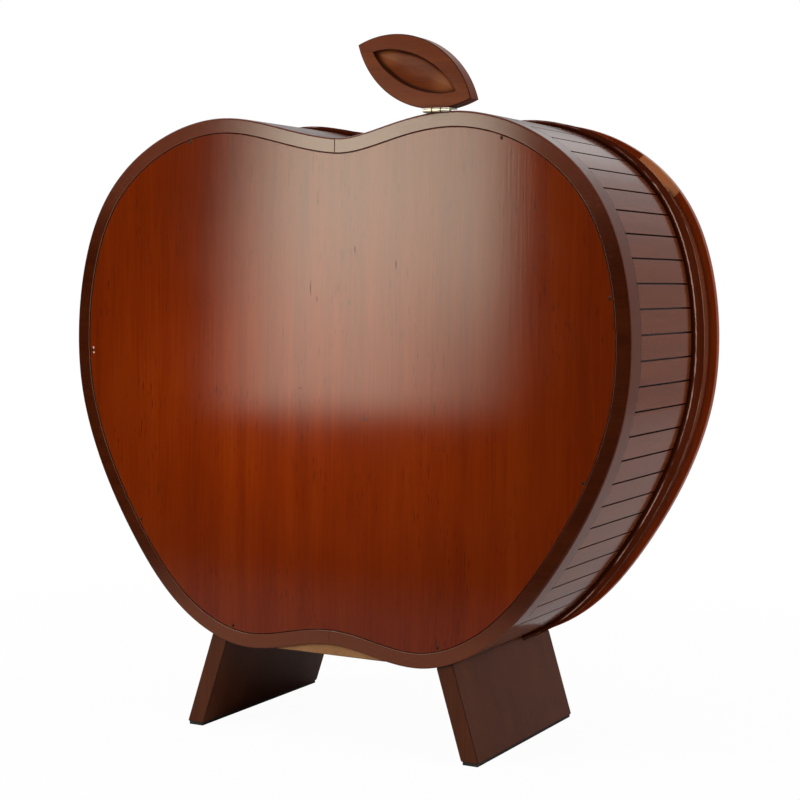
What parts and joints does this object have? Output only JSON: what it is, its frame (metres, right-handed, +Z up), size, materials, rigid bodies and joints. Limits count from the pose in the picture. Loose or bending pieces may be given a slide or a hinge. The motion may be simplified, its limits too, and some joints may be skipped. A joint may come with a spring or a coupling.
{
  "type": "wine cabinet",
  "caption": "Apple-shaped wooden wine cabinet on splayed slab legs, with a deep hinged door, bottle bays, glass runners and a folding leaf on top.",
  "frame": {"origin": "centre of the footprint on the floor, midway across the body and midway between back and front", "axes": "+Z up, +X to the right as seen from the front, +Y to the back, the door faces -Y"},
  "size_m": [0.8215, 0.322, 0.901],
  "materials": {
    "panel_wood": "stained plywood, satin lacquer",
    "frame_wood": "stained hardwood, satin lacquer",
    "drum_wood": "stained bent plywood, satin lacquer",
    "door_wood": "stained hardwood, satin lacquer",
    "leg_wood": "dark stained hardwood, satin lacquer",
    "leaf_wood": "stained hardwood, satin lacquer",
    "shelf_wood": "stained hardwood, satin lacquer",
    "raw_wood": "bare wood",
    "hinge_brass": "worn brass",
    "steel": "bright steel",
    "glide": "black plastic",
    "bumper": "soft felt-like rubber"
  },
  "bodies": {
    "carcass": {"back_dowels": "raw_wood", "back_frame_left": "frame_wood", "back_frame_right": "frame_wood", "back_panel": "panel_wood", "base_board": "raw_wood", "base_screws": "steel", "bottle_dividers": "shelf_wood", "bottle_guard": "shelf_wood", "catch_magnet": "steel", "door_bumpers": "bumper", "door_hinge_fixed": "hinge_brass", "door_hinge_fixed_screws": "hinge_brass", "door_hinge_pin": "hinge_brass", "drum_left": "drum_wood", "drum_right": "drum_wood", "drum_tongues": "raw_wood", "floor_shelf": "shelf_wood", "front_dowels": "raw_wood", "front_frame_left": "frame_wood", "front_frame_right": "frame_wood", "glass_runners": "shelf_wood", "leaf_hinge_lower": "hinge_brass", "leaf_hinge_lower_screws": "hinge_brass", "leaf_hinge_pin": "hinge_brass", "leg_dowels": "raw_wood", "leg_glides": "glide", "leg_left": "leg_wood", "leg_right": "leg_wood", "main_shelf": "shelf_wood", "panel_nails": "steel", "shelf_pins": "steel", "top_board": "shelf_wood"},
    "door": {"door_panel": "door_wood", "door_rim_left": "door_wood", "door_rim_right": "door_wood", "door_hinge_moving": "hinge_brass", "door_hinge_moving_screws": "hinge_brass", "catch_strike": "steel"},
    "leaf": {"leaf": "leaf_wood", "leaf_hinge_upper": "hinge_brass", "leaf_hinge_upper_screws": "hinge_brass"}
  },
  "joints": [
    {"name": "door_swing", "type": "hinge", "parent": "carcass", "child": "door", "pos_m": [0.41086, -0.093, 0.51557], "axis": [0, 0, 1], "range_deg": [0, 110]},
    {"name": "leaf_fold", "type": "hinge", "parent": "carcass", "child": "leaf", "pos_m": [-0.143, 0.1595, 0.80615], "axis": [-1, 0, 0], "range_deg": [0, 180]}
  ]
}
